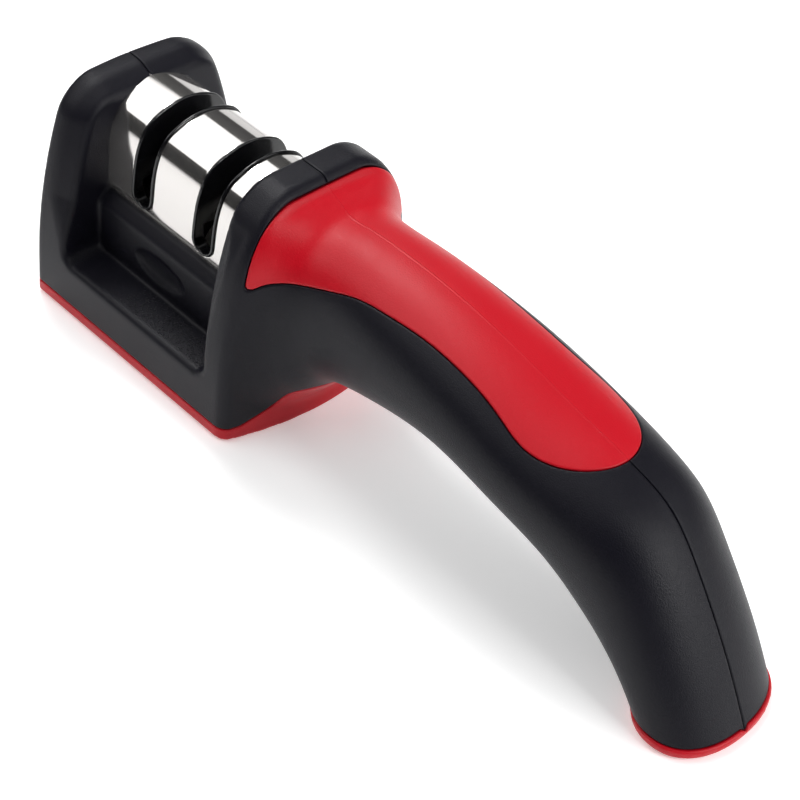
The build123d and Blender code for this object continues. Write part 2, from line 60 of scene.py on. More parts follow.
azimuth, elevation, roll = map(math.radians, (camera_azimuth, camera_elevation, camera_roll))
backward = Vector((
    math.sin(azimuth) * math.cos(elevation),
    -math.cos(azimuth) * math.cos(elevation),
    math.sin(elevation),
))
level_right = (-backward).cross(Vector((0, 0, 1))).normalized()
level_up = level_right.cross(-backward)
right = level_right * math.cos(roll) + level_up * math.sin(roll)
upward = level_up * math.cos(roll) - level_right * math.sin(roll)
camera_data = bpy.data.cameras.new("camera")
camera_data.lens = camera_lens
camera_data.sensor_width = camera_film
camera = bpy.data.objects.new("camera", camera_data)
camera.matrix_world = Matrix((
    (right.x, upward.x, backward.x, camera_place[0]),
    (right.y, upward.y, backward.y, camera_place[1]),
    (right.z, upward.z, backward.z, camera_place[2]),
    (0, 0, 0, 1),
))
bpy.context.scene.collection.objects.link(camera)
bpy.context.scene.camera = camera

# Floor and light.  A white table in a studio.  The walls are dark near the horizon, which gives
# the polished steel its dark bands, and each soft box stands where a highlight of the photograph
# comes from.  A box is given by its name, its place, the point it faces, its width and height in
# metres, and its power in watts.
floor_height = -0.0004
floor_reach = 4.0
floor_colour = (0.94, 0.94, 0.94, 1)
floor_roughness = 0.9
floor_glow = 0.33
glow_colour = (1, 1, 1, 1)
sky_low = 0.05
sky_high = 0.78
sky_rise = (0.26, 0.52)
soft_boxes = (
    ("top_light", (-0.40, -0.05, 1.0), (0, 0, 0.03), 1.7, 0.8, 7.4),
    ("high_light", (-0.44, 0.19, 0.78), (0.06, -0.01, 0.04), 0.26, 0.26, 3.0),
    ("key_light", (0.99, 0.28, 0.44), (0.13, -0.01, 0.02), 0.40, 0.40, 5.8),
    ("side_light", (-0.53, -0.63, 0.80), (0, 0, 0.03), 0.9, 0.46, 2.2),
    ("far_light", (-0.57, 1.04, 0.20), (0, 0, 0.05), 0.9, 0.34, 0.9),
    ("tongue_light", (0.62, -0.03, 0.86), (0.03, -0.01, 0.05), 0.22, 0.22, 2.0),
    ("back_light", (0.45, 0.60, 0.60), (0.06, 0, 0.03), 0.5, 0.35, 1.2),
)


def new_finish(name):
    """A material, with its nodes and its shader."""
    finish = bpy.data.materials.new(name)
    finish.use_nodes = True
    return finish, finish.node_tree.nodes, finish.node_tree.nodes["Principled BSDF"]


def set_inputs(node, values):
    """Sets inputs of a node that nothing is linked to."""
    for name, value in values.items():
        node.inputs[name].default_value = value


def link_nodes(tree, wires):
    """Makes links, each from a node and its output to a node and its input."""
    for source, output, target, entry in wires:
        tree.links.new(source.outputs[output], target.inputs[entry])


floor_mesh = bpy.data.meshes.new("floor")
floor_corners = [(-floor_reach, -floor_reach), (floor_reach, -floor_reach)]
floor_corners += [(floor_reach, floor_reach), (-floor_reach, floor_reach)]
floor_mesh.from_pydata([(x, y, floor_height) for x, y in floor_corners], [], [(0, 1, 2, 3)])
floor = bpy.data.objects.new("floor", floor_mesh)
bpy.context.scene.collection.objects.link(floor)
floor_paint, _, shader = new_finish("floor_paint")
set_inputs(shader, {
    "Base Color": floor_colour, "Roughness": floor_roughness,
    "Emission Color": glow_colour, "Emission Strength": floor_glow,
})
floor_mesh.materials.append(floor_paint)

world = bpy.data.worlds.new("studio")
world.use_nodes = True
nodes = world.node_tree.nodes
way = nodes.new("ShaderNodeTexCoord")
parts = nodes.new("ShaderNodeSeparateXYZ")
rise = nodes.new("ShaderNodeMapRange")
rise.interpolation_type = "SMOOTHSTEP"
set_inputs(rise, {
    "From Min": sky_rise[0], "From Max": sky_rise[1], "To Min": sky_low, "To Max": sky_high,
})
link_nodes(world.node_tree, (
    (way, "Generated", parts, "Vector"),
    (parts, "Z", rise, "Value"),
    (rise, "Result", nodes["Background"], "Strength"),
))
bpy.context.scene.world = world
bpy.context.scene.view_settings.view_transform = "Standard"

for name, place, aim, width, height, power in soft_boxes:
    lamp = bpy.data.lights.new(name, "AREA")
    lamp.shape = "RECTANGLE"
    lamp.size, lamp.size_y, lamp.energy = width, height, power
    holder = bpy.data.objects.new(name, lamp)
    facing = (Vector(aim) - Vector(place)).to_track_quat("-Z", "Y").to_matrix().to_4x4()
    holder.matrix_world = Matrix.Translation(place) @ facing
    bpy.context.scene.collection.objects.link(holder)

# Moulded form.  The head, its two plates and the handle are one smooth injection moulded shape,
# and the shells, grip, pad and cap are skins of it.  Every length here is in millimetres, and a
# distance is less than zero inside the plastic.
mm = 0.001
plate_half_width = 25.4
plate_straight = 10.0
plate_side_arc = 102.0
plate_corner = 6.5
plate_crown = 0.5
front_plate_height = 50.2
rear_plate_height = 54.4
plate_edge = 1.1
front_face = -30.6
front_bow = 2.6
front_inner_foot = -21.0
front_inner_slope = 0.06
rear_inner_foot = 24.4
rear_inner_slope = 0.09
rear_thickness = 8.2
rear_bow = 2.4
rear_bow_reach = 18.0
rear_edge = 2.2
bevel_heights = (12.6, 13.8, 27.0)
bevel_widths = (-45.0, -1.0, 4.5)
bevel_lean = 2.0
bevel_edge = 0.6
bevel_overlap = 2.0
recess_floor = 13.0
recess_corner = 3.0
recess_edge = 0.5
housing_half = 15.8
housing_shoulder = (15.4, 24.5)
housing_ledge = (13.1, 27.0)
housing_foot_fillet = 0.8
dimple_middle = (-2.15, 15.4, 18.6)
dimple_half = (7.5, 0.8, 3.0)
dimple_edge = 0.25
dimple_least_steepness = 0.001
root_blend = 4.0
foot_edge = 0.8
cap_foot_edge = 1.5
foot_change = (60.0, 100.0)
cap_plumb = 1.6
handle_stations = np.array([
    (25.0, 46.0, 27.0, 4.9, 22.0, 4.0),
    (29.9, 50.6, 30.9, 6.0, 19.9, 3.4),
    (33.9, 49.5, 36.2, 7.5, 17.2, 2.8),
    (39.4, 49.6, 40.6, 12.6, 15.4, 2.4),
    (48.4, 50.0, 48.0, 17.2, 15.2, 2.3),
    (60.0, 49.6, 57.8, 20.0, 15.8, 2.2),
    (77.8, 47.1, 73.6, 22.9, 16.4, 2.2),
    (95.4, 43.3, 89.9, 20.8, 16.9, 2.2),
    (110.3, 40.4, 103.9, 16.2, 16.3, 2.2),
    (118.4, 37.3, 109.9, 12.6, 16.0, 2.2),
    (126.6, 29.3, 115.7, 9.2, 15.6, 2.2),
    (138.3, 14.0, 123.0, 4.1, 15.5, 2.2),
    (150.6, -6.3, 131.5, -6.3, 15.3, 2.2),
])
station_fineness = 1200
near_zero = 1e-6
handle_start = 27.2
handle_start_slope = 0.05


def rounded_meet(a, b, radius):
    """The part inside both shapes, with the edge between them rounded."""
    far = np.hypot(np.maximum(a + radius, 0), np.maximum(b + radius, 0))
    return np.minimum(np.maximum(a, b) + radius, 0) + far - radius


def rounded_join(a, b, radius):
    """The two shapes together, with the inner corner between them filled."""
    return -rounded_meet(-a, -b, radius)


def smooth_curve(knots, values, places):
    """Values of a natural cubic spline through the knots."""
    count = len(knots)
    gap = np.diff(knots)
    system = np.eye(count)
    load = np.zeros((count, values.shape[1]))
    for row in range(1, count - 1):
        system[row, row - 1 : row + 2] = gap[row - 1], 2 * (gap[row - 1] + gap[row]), gap[row]
        rise = (values[row + 1] - values[row]) / gap[row]
        load[row] = 6 * (rise - (values[row] - values[row - 1]) / gap[row - 1])
    bend = np.linalg.solve(system, load)
    row = np.clip(np.searchsorted(knots, places) - 1, 0, count - 2)
    width = gap[row][:, None]
    a = (knots[row + 1] - places)[:, None] / width
    b = 1 - a
    curved = ((a**3 - a) * bend[row] + (b**3 - b) * bend[row + 1]) * width**2 / 6
    return a * values[row] + b * values[row + 1] + curved


station_middle = (handle_stations[:, :2] + handle_stations[:, 2:4]) / 2
station_steps = np.linalg.norm(np.diff(station_middle, axis=0), axis=1)
station_knots = np.concatenate([[0], np.cumsum(station_steps)])
station_places = np.linspace(0, station_knots[-1], station_fineness)
station_table = smooth_curve(station_knots, handle_stations, station_places)

lookup_low = np.array((14.0, -8.0))
lookup_step = 0.5
lookup_size = (290, 136)
lookup_thinning = 6


def make_lookup():
    """For points of the middle plane, how far along the handle their section is."""
    x = lookup_low[0] + lookup_step * np.arange(lookup_size[0])
    z = lookup_low[1] + lookup_step * np.arange(lookup_size[1])
    here = np.stack(np.meshgrid(x, z, indexing="ij"), axis=-1).reshape(-1, 1, 2)
    thinned = station_table[::lookup_thinning]
    places = station_places[::lookup_thinning]
    line = thinned[:, 0:2] - thinned[:, 2:4]
    past = here - thinned[:, 2:4]
    side = (past[..., 0] * line[:, 1] - past[..., 1] * line[:, 0]) / np.linalg.norm(line, axis=1)
    crossed = (side[:, :-1] >= 0) & (side[:, 1:] < 0)
    last = crossed.shape[1] - 1 - np.argmax(crossed[:, ::-1], axis=1)
    row = np.arange(len(side))
    a, b = side[row, last], side[row, last + 1]
    found = crossed.any(axis=1)
    share = np.where(found, a / np.where(found, a - b, 1), 0)
    place = places[last] + share * (places[1] - places[0])
    ends = np.where(side[:, 0] < 0, places[0], places[-1])
    return np.where(found, place, ends).reshape(lookup_size)


lookup = make_lookup()


def handle_place(points):
    """How far along the handle each point's section is, from the lookup."""
    cell = (points[:, [0, 2]] - lookup_low) / lookup_step
    cell = np.clip(cell, 0, np.array(lookup_size) - 1.001)
    i, k = cell.astype(int).T
    s, t = (cell - np.stack([i, k], axis=1)).T
    near = lookup[i, k] * (1 - s) + lookup[i + 1, k] * s
    far = lookup[i, k + 1] * (1 - s) + lookup[i + 1, k + 1] * s
    return near * (1 - t) + far * t


def handle_section(points):
    """Where each point lies in its section: the place along, and up and across as shares."""
    place = handle_place(points)
    columns = [np.interp(place, station_places, column) for column in station_table.T]
    top_x, top_z, under_x, under_z, half, square = columns
    reach = np.hypot(top_x - under_x, top_z - under_z) / 2
    rise_x = (top_x - under_x) / 2 / reach
    rise_z = (top_z - under_z) / 2 / reach
    along_x = points[:, 0] - (top_x + under_x) / 2
    along_z = points[:, 2] - (top_z + under_z) / 2
    up = (along_x * rise_x + along_z * rise_z) / reach
    return place, up, points[:, 1] / half, reach, half, square


def handle_field(points):
    """Distance from the handle's surface."""
    _, up, across, reach, half, square = handle_section(points)
    a = np.abs(up) + near_zero
    b = np.abs(across) + near_zero
    size = (a**square + b**square) ** (1 / square)
    steep_a = (a / size) ** (square - 1) / reach
    steep_b = (b / size) ** (square - 1) / half
    side = (size - 1) / np.hypot(steep_a, steep_b)
    return np.maximum(side, handle_start - handle_start_slope * points[:, 2] - points[:, 0])


def plate_outline(y, z, height):
    """Distance from a plate's outline, seen from the end of the head."""
    rise = np.maximum(z - plate_straight, 0)
    side = np.hypot(np.abs(y) + plate_side_arc - plate_half_width, rise) - plate_side_arc
    top = z - height + plate_crown * (y / plate_half_width) ** 2
    return rounded_meet(side, top, plate_corner)


def rear_band(points):
    """How far behind the edge of the rear plate's black band a point is."""
    return points[:, 0] - rear_inner_foot - rear_thickness + rear_inner_slope * points[:, 2]


def recess_field(points):
    """Distance from the gap between the plates, with the housing left standing in it."""
    x, y, z = points.T
    front = front_inner_foot - front_inner_slope * z - x
    rear = x - rear_inner_foot + rear_inner_slope * z
    walls = np.maximum(front, rear)
    gap = rounded_meet(walls, recess_floor - z, recess_corner)
    foot, shoulder, ledge = housing_half, housing_shoulder, housing_ledge
    wall_slope = (foot - shoulder[0]) / shoulder[1]
    wall = np.abs(y) - foot + wall_slope * z
    ledge_length = math.dist(shoulder, ledge)
    ledge_y = (ledge[1] - shoulder[1]) / ledge_length
    ledge_z = (shoulder[0] - ledge[0]) / ledge_length
    slope = (np.abs(y) - shoulder[0]) * ledge_y + (z - shoulder[1]) * ledge_z
    housing = rounded_meet(rounded_meet(wall, slope, recess_edge), z - ledge[1], recess_edge)
    share = (np.stack([x, np.abs(y), z], axis=1) - dimple_middle) / dimple_half
    size = np.linalg.norm(share, axis=1)
    steep = np.maximum(np.linalg.norm(share / dimple_half, axis=1), dimple_least_steepness)
    housing = rounded_meet(housing, -size * (size - 1) / steep, dimple_edge)
    return rounded_meet(gap, -housing, housing_foot_fillet)


def form_field(points):
    """Distance from the whole moulded form."""
    x, y, z = points.T
    bow = 1 - (y / plate_half_width) ** 2
    front = rounded_meet(
        plate_outline(y, z, front_plate_height), front_face - front_bow * bow - x, plate_edge
    )
    bevel = np.interp(z, bevel_heights, bevel_widths)
    inner = x - front_inner_foot + front_inner_slope * z
    slanted = bevel_lean * plate_outline(y, z, front_plate_height) + inner + bevel
    slanted = np.minimum(slanted / math.hypot(bevel_lean, 1), bevel_overlap - inner)
    front = rounded_meet(front, slanted, bevel_edge)
    rear_bulge = rear_bow * (1 - (y / rear_bow_reach) ** 2) * (1 - z / rear_plate_height)
    outer = rear_band(points) - rear_bulge
    rear = rounded_meet(plate_outline(y, z, rear_plate_height), outer, rear_edge)
    head = np.where(x < 0, front, rear)
    grounded = np.stack([x, y, np.maximum(z, cap_plumb)], axis=1)
    head = rounded_join(head, handle_field(grounded), root_blend)
    head = rounded_meet(head, -recess_field(points), plate_edge)
    return rounded_meet(head, -z, np.interp(x, foot_change, (foot_edge, cap_foot_edge)))


def grid_window(others, offsets, sizes):
    """A window of a grid: whole along one axis, and a part along each of the two others."""
    window = [slice(None)] * 3
    for other, offset, size in zip(others, offsets, sizes):
        window[other] = slice(offset, offset + size)
    return tuple(window)


def surface_net(field, low, high, step):
    """A closed net of four sided faces over the surface of a field, on a grid."""
    axes = [np.arange(a, b + step, step) for a, b in zip(low, high)]
    grid = np.stack(np.meshgrid(*axes, indexing="ij"), axis=-1)
    values = np.concatenate([field(part.reshape(-1, 3)) for part in grid]).reshape(grid.shape[:3])
    cells = tuple(size - 1 for size in values.shape)
    total = np.zeros(cells + (3,))
    count = np.zeros(cells)
    crossings = []
    for axis in range(3):
        a = values.take(range(0, cells[axis]), axis=axis)
        b = values.take(range(1, cells[axis] + 1), axis=axis)
        crossed = (a < 0) != (b < 0)
        share = np.where(crossed, a / np.where(crossed, a - b, 1), 0)
        place = grid.take(range(0, cells[axis]), axis=axis).copy()
        place[..., axis] += share * step
        place *= crossed[..., None]
        others = [other for other in range(3) if other != axis]
        for i in (0, 1):
            for j in (0, 1):
                window = grid_window(others, (i, j), [cells[other] for other in others])
                total += place[window]
                count += crossed[window]
        crossings.append((axis, others, crossed, a < 0))
    active = count > 0
    number = np.full(cells, -1)
    number[active] = np.arange(active.sum())
    quads = []
    for axis, others, crossed, leaving in crossings:
        inner = [cells[other] - 1 for other in others]
        middle = grid_window(others, (1, 1), inner)
        crossed, leaving = crossed[middle], leaving[middle]
        corners = []
        for offsets in ((0, 0), (1, 0), (1, 1), (0, 1)):
            corners.append(number[grid_window(others, offsets, inner)][crossed])
        faces = np.stack(corners, axis=1)
        turned = leaving[crossed] == (axis == 1)
        faces[turned] = faces[turned][:, ::-1]
        quads.append(faces)
    return total[active] / count[active][:, None], np.concatenate(quads)


def field_slope(field, points, reach=0.03):
    """The direction in which a field grows, and how fast."""
    slope = np.empty_like(points)
    for axis in range(3):
        step = np.zeros(3)
        step[axis] = reach
        slope[:, axis] = (field(points + step) - field(points - step)) / (2 * reach)
    return slope


def settle(field, points, rounds=3, least_steepness=0.2, limit=0.6):
    """Move points onto the surface of a field, by no more than a limit in each round."""
    for _ in range(rounds):
        slope = field_slope(field, points)
        steep = np.maximum((slope**2).sum(axis=1), least_steepness)
        points = points - slope * np.clip(field(points) / steep, -limit, limit)[:, None]
    return points


def relax(field, points, quads, rounds):
    """Even out the net, and keep it on the surface."""
    a = quads.ravel()
    b = np.roll(quads, -1, axis=1).ravel()
    size = len(points)
    count = np.bincount(a, minlength=size) + np.bincount(b, minlength=size)
    for _ in range(rounds):
        total = np.stack([
            np.bincount(a, points[b, axis], size) + np.bincount(b, points[a, axis], size)
            for axis in range(3)
        ], axis=1)
        points = settle(field, (points + total / count[:, None]) / 2, 1)
    return points


def quarter(field, points, quads):
    """Divide every face of a net into four, and settle the new corners."""
    a = quads.ravel()
    b = np.roll(quads, -1, axis=1).ravel()
    pairs = np.sort(np.stack([a, b], axis=1), axis=1)
    edges, which = np.unique(pairs, axis=0, return_inverse=True)
    which = which.reshape(quads.shape) + len(points)
    middle = len(points) + len(edges) + np.arange(len(quads))
    points = np.concatenate([points, points[edges].mean(axis=1), points[quads].mean(axis=1)])
    parts = []
    for corner in range(4):
        before = which[:, corner - 1]
        parts.append(np.stack([quads[:, corner], which[:, corner], middle, before], axis=1))
    return settle(field, points), np.concatenate(parts)


def moulded_net(field, low, high, step, rounds):
    """The net of a field's surface, evened out, divided once and evened out again."""
    points, quads = surface_net(field, low, high, step)
    points = relax(field, settle(field, points), quads, rounds[0])
    points, quads = quarter(field, points, quads)
    return relax(field, points, quads, rounds[1]), quads


def split_along(points, faces, measure, level, closeness=0.01):
    """Cut triangles where a measure of their corners passes a level, so that edges follow it."""
    value = measure(points) - level
    value[np.abs(value) < closeness] = 0
    pairs = np.stack([faces, np.roll(faces, -1, axis=1)], axis=2)
    crossed = value[pairs[..., 0]] * value[pairs[..., 1]] < 0
    if not crossed.any():
        return points, faces
    edges, which = np.unique(np.sort(pairs[crossed], axis=1), axis=0, return_inverse=True)
    a, b = value[edges[:, 0]], value[edges[:, 1]]
    share = (a / (a - b))[:, None]
    added = points[edges[:, 0]] * (1 - share) + points[edges[:, 1]] * share
    middle = np.full(crossed.shape, -1)
    middle[crossed] = len(points) + which.ravel()
    points = np.concatenate([points, added])
    number = crossed.sum(axis=1)
    kept = [faces[number == 0]]
    for start in range(3):
        order = [(start + step) % 3 for step in range(3)]
        one = (number == 1) & crossed[:, order[0]]
        a, b, c = faces[one][:, order].T
        m = middle[one, order[0]]
        kept += [np.stack([a, m, c], axis=1), np.stack([m, b, c], axis=1)]
        two = (number == 2) & ~crossed[:, order[1]]
        a, b, c = faces[two][:, order].T
        m, n = middle[two, order[0]], middle[two, order[2]]
        kept += [np.stack([a, m, n], axis=1), np.stack([m, b, c], axis=1)]
        kept.append(np.stack([m, c, n], axis=1))
    return points, np.concatenate(kept)


def keep_faces(points, faces, wanted):
    """Only the wanted faces, with the points that they use."""
    faces = faces[wanted]
    used, faces = np.unique(faces, return_inverse=True)
    return points[used], faces.reshape(-1, 3)


def thick_skin(points, faces, outward, thickness):
    """A closed wall behind a skin of triangles, with its rim."""
    size = len(points)
    pairs = np.concatenate([faces[:, [0, 1]], faces[:, [1, 2]], faces[:, [2, 0]]])
    code = pairs[:, 0] * size + pairs[:, 1]
    rim = pairs[~np.isin(pairs[:, 1] * size + pairs[:, 0], code)]
    a, b = rim.T
    walls = np.concatenate([
        np.stack([b, a, a + size], axis=1),
        np.stack([b, a + size, b + size], axis=1),
    ])
    inner = points - outward * thickness
    return np.concatenate([points, inner]), np.concatenate([faces, faces[:, ::-1] + size, walls])


def add_piece(name, points, faces, material, crease=50):
    """A Blender object of a piece whose points are in millimetres."""
    mesh = bpy.data.meshes.new(name)
    mesh.from_pydata((np.asarray(points) * mm).tolist(), [], np.asarray(faces).tolist())
    mesh.shade_smooth()
    mesh.set_sharp_from_angle(angle=math.radians(crease))
    mesh.materials.append(material)
    piece = bpy.data.objects.new(name, mesh)
    bpy.context.scene.collection.objects.link(piece)
    return piece


net_step = 1.25
form_low = (-35.0, -27.0, -2.0)
form_high = (152.0, 27.0, 56.5)
form_rounds = (4, 2)
form_points, form_quads = moulded_net(form_field, form_low, form_high, net_step, form_rounds)
form_faces = np.concatenate([form_quads[:, [0, 1, 2]], form_quads[:, [0, 2, 3]]])


def new_tree(name, kind, inputs, outputs):
    """A node group of a kind with its named sockets, its nodes and both of its ends."""
    tree = bpy.data.node_groups.new(name, kind + "NodeTree")
    for direction, sockets in (("INPUT", inputs), ("OUTPUT", outputs)):
        for title, socket in sockets.items():
            tree.interface.new_socket(title, in_out=direction, socket_type="NodeSocket" + socket)
    return tree, tree.nodes, tree.nodes.new("NodeGroupInput"), tree.nodes.new("NodeGroupOutput")


# Fine moulded grain: a height for a bump, and a slow change of gloss over the surface
moulded_grain, nodes, given, made = new_tree(
    "moulded_grain", "Shader", {"Grains per metre": "Float", "Gloss change": "Float"},
    {"Height": "Float", "Gloss": "Float"},
)
place = nodes.new("ShaderNodeTexCoord")
fine = nodes.new("ShaderNodeTexNoise")
set_inputs(fine, {"Detail": 3.0, "Roughness": 0.65})
slow = nodes.new("ShaderNodeTexNoise")
set_inputs(slow, {"Scale": 60.0, "Detail": 4.0})
scaled = nodes.new("ShaderNodeMath")
scaled.operation = "MULTIPLY"
link_nodes(moulded_grain, (
    (place, "Object", fine, "Vector"),
    (place, "Object", slow, "Vector"),
    (given, "Grains per metre", fine, "Scale"),
    (slow, "Fac", scaled, 0),
    (given, "Gloss change", scaled, 1),
    (fine, "Fac", made, "Height"),
    (scaled, "Value", made, "Gloss"),
))


def moulded_finish(name, colour, pale, gloss, gloss_change, grains, grain_depth, shine):
    """A moulded plastic or rubber: grain, uneven gloss, and a colour that varies a little."""
    finish, nodes, shader = new_finish(name)
    set_inputs(shader, {"Specular IOR Level": shine})
    grain = nodes.new("ShaderNodeGroup")
    grain.node_tree = moulded_grain
    set_inputs(grain, {"Grains per metre": grains, "Gloss change": gloss_change})
    tint = nodes.new("ShaderNodeMix")
    tint.data_type = "RGBA"
    set_inputs(tint, {"A": (*colour, 1), "B": (*pale, 1)})
    rough = nodes.new("ShaderNodeMath")
    rough.operation = "ADD"
    set_inputs(rough, {1: gloss})
    bump = nodes.new("ShaderNodeBump")
    set_inputs(bump, {"Distance": grain_depth})
    link_nodes(finish.node_tree, (
        (grain, "Height", tint, "Factor"),
        (tint, "Result", shader, "Base Color"),
        (grain, "Gloss", rough, 0),
        (rough, "Value", shader, "Roughness"),
        (grain, "Height", bump, "Height"),
        (bump, "Normal", shader, "Normal"),
    ))
    return finish


# Edges between the skins.  The grip's edge is a closed line over the handle, the pad's edge runs
# round the head and rises in a tail behind it, and the cap's edge is level.  Every skin is cut
# in rows along its edges, so that the edges can be rounded and a fine groove stays between them.
grip_edge_near = np.array([
    (29.2, -21.3, 36.8), (31.2, -18.9, 38.9), (33.7, -16.5, 40.0), (38.1, -14.1, 41.1),
    (43.5, -12.9, 42.9), (50.1, -12.0, 45.0), (56.9, -11.5, 45.7), (62.6, -11.1, 45.9),
    (67.7, -10.8, 45.7), (72.2, -10.8, 45.3), (76.4, -10.9, 44.7), (80.2, -11.1, 44.0),
    (83.7, -11.4, 43.1), (87.0, -11.9, 42.2), (90.2, -12.4, 41.2), (93.8, -12.5, 40.3),
    (99.1, -11.3, 40.0), (104.7, -7.3, 40.6), (107.3, -2.2, 41.0),
])
grip_tip_lift = 1.8
grip_edge_fineness = 700
grip_edge_rounds = 6
grip_region = (22.0, 112.0, 28.0)
search_block = 2000
far_outside = -9.0
pad_edge = np.array([
    (30.6, 3.0), (31.4, 3.3), (32.2, 4.6), (33.1, 6.4), (34.2, 8.4), (35.5, 10.2), (37.0, 11.6),
    (38.8, 12.6), (41.2, 13.4), (43.0, -5.0),
])
cap_top = 2.4
cap_from = 100.0
cap_notch = 0.7
cap_notch_half = 1.1
seam_gap = 0.05
skin_gap = 0.07
edge_rounding = 0.35
edge_rows = (0.0, 0.06, 0.15, 0.35)
skin_thickness = 1.2

grip_edge_all = np.concatenate([grip_edge_near, (grip_edge_near * (1, -1, 1))[::-1]])
grip_edge_knots = np.concatenate([
    [0], np.cumsum(np.linalg.norm(np.diff(grip_edge_all, axis=0), axis=1))
])
grip_edge_places = np.linspace(0, grip_edge_knots[-1], grip_edge_fineness)
grip_edge = smooth_curve(grip_edge_knots, grip_edge_all, grip_edge_places)
grip_edge = settle(form_field, grip_edge, grip_edge_rounds)
grip_edge_way = np.gradient(grip_edge, axis=0)
grip_edge_way /= np.linalg.norm(grip_edge_way, axis=1)[:, None]
near_half = grip_edge[: grip_edge_fineness // 2]
edge_place, edge_up, edge_across = handle_section(near_half)[:3]
edge_turn = np.arctan2(np.abs(edge_across), edge_up)


def grip_measure(points):
    """How far inside the soft grip's edge a point of the surface is."""
    result = np.full(len(points), far_outside)
    first_x, last_x, low_z = grip_region
    close = (points[:, 0] > first_x) & (points[:, 0] < last_x) & (points[:, 2] > low_z)
    close = np.flatnonzero(close)
    here = points[close]
    place, up, across = handle_section(here)[:3]
    limit = np.interp(place, edge_place, edge_turn, right=0.0)
    inside = np.where(np.arctan2(np.abs(across), up) < limit, 1.0, -1.0)
    nearest = np.concatenate([
        ((part[:, None] - grip_edge) ** 2).sum(axis=2).argmin(axis=1)
        for part in np.array_split(here, 1 + len(here) // search_block)
    ])
    away = here - grip_edge[nearest]
    way = grip_edge_way[nearest]
    away -= way * (away * way).sum(axis=1)[:, None]
    inside *= np.linalg.norm(away, axis=1)
    result[close] = -rounded_meet(-inside, -rear_band(here), grip_tip_lift)
    return result


def pad_measure(points):
    """How far below the pad's upper edge a point is."""
    return np.interp(points[:, 0], pad_edge[:, 0], pad_edge[:, 1]) - points[:, 2]


def cap_measure(points):
    """How far below the cap's upper edge a point is."""
    notch = cap_notch * np.clip(1 - np.abs(points[:, 1]) / cap_notch_half, 0, 1)
    return np.where(points[:, 0] > cap_from, cap_top - notch - points[:, 2], far_outside)


def seam_measure(points):
    """How far beyond the seam in the middle plane a point is."""
    return points[:, 1]


cuts = [(seam_measure, seam_gap)]
cuts += [(measure, skin_gap) for measure in (grip_measure, pad_measure, cap_measure)]
for measure, gap in cuts:
    for row in edge_rows:
        for level in (gap + row, -gap - row):
            form_points, form_faces = split_along(form_points, form_faces, measure, level)
form_outward = field_slope(form_field, form_points)
form_outward /= np.linalg.norm(form_outward, axis=1)[:, None]
grip_depth = grip_measure(form_points)
pad_depth = pad_measure(form_points)
cap_depth = cap_measure(form_points)


def edge_drop(distance, gap):
    """How far the surface drops at a distance from the middle of a groove."""
    inward = np.clip(edge_rounding - (distance - gap), 0, edge_rounding)
    return edge_rounding - np.sqrt(edge_rounding**2 - inward**2)


def skin_faces(*limits):
    """Which faces lie inside all the limits, each given as a measure of the points and a gap."""
    wanted = np.ones(len(form_faces), bool)
    for values, gap in limits:
        wanted &= values[form_faces].mean(axis=1) > gap
    return wanted


def make_skin(name, wanted, limits, thickness, material, raised=0.0):
    """A skin of the form with rounded edges and a wall behind it."""
    drop = np.zeros(len(form_points))
    for values, gap in limits:
        drop = np.maximum(drop, edge_drop(values, gap))
    shifted = form_points + form_outward * (raised - drop)[:, None]
    joined = np.concatenate([shifted, form_outward], axis=1)
    used, faces = np.unique(form_faces[wanted], return_inverse=True)
    points, outward = joined[used, :3], joined[used, 3:]
    return add_piece(name, *thick_skin(points, faces.reshape(-1, 3), outward, thickness), material)


# Half shells.  Black ABS in a fine satin texture, one half on each side of the middle plane,
# welded along it.  The housing's top is open below the steel cover.
shell_black = (0.0044, 0.0042, 0.0074)
shell_black_pale = (0.0070, 0.0066, 0.0112)
shell_grains = 3400.0
shell_grain_depth = 0.00007
opening_half = (19.0, 12.2)
opening_lift = 1.0

shell_finish = moulded_finish(
    "satin_black_plastic", shell_black, shell_black_pale, gloss=0.30, gloss_change=0.16,
    grains=shell_grains, grain_depth=shell_grain_depth, shine=0.17,
)
form_middle = form_points[form_faces].mean(axis=1)
open_top = (np.abs(form_middle[:, :2]) < opening_half).all(axis=1)
open_top &= np.abs(form_middle[:, 2] - housing_ledge[1]) < opening_lift
for shell, side in (("left_shell", -1), ("right_shell", 1)):
    limits = [(side * form_points[:, 1], seam_gap)]
    limits += [(-depth, skin_gap) for depth in (grip_depth, pad_depth, cap_depth)]
    wanted = skin_faces(*limits) & ~open_top
    piece = make_skin(shell + "_skin", wanted, limits, skin_thickness, shell_finish)
    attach(piece, "body")
    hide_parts(shell)

# Soft grip, pad and cap.  Red thermoplastic rubber moulded over the shells: the grip with a faint
# parting line along its middle, the pad under the head with a tail that rises behind it, and the
# cap on the end of the handle, a little proud of it.
soft_red = (0.45, 0.0010, 0.0080)
soft_red_pale = (0.54, 0.0018, 0.0125)
soft_grains = 3000.0
soft_grain_depth = 0.00006
parting_height = 0.08
parting_half = 0.20
cap_lip = 0.3

soft_finish = moulded_finish(
    "soft_red_rubber", soft_red, soft_red_pale, gloss=0.30, gloss_change=0.20,
    grains=soft_grains, grain_depth=soft_grain_depth, shine=0.28,
)
parting_line = parting_height * np.clip(1 - np.abs(form_points[:, 1]) / parting_half, 0, 1)
for name, node, depth, raised in (
    ("grip_skin", "grip_inlay", grip_depth, parting_line),
    ("pad_skin", "base_pad", pad_depth, 0.0),
    ("cap_skin", "end_cap", cap_depth, cap_lip),
):
    limits = [(depth, skin_gap)]
    piece = make_skin(name, skin_faces(*limits), limits, skin_thickness, soft_finish, raised)
    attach(piece, "body")
    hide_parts(node)

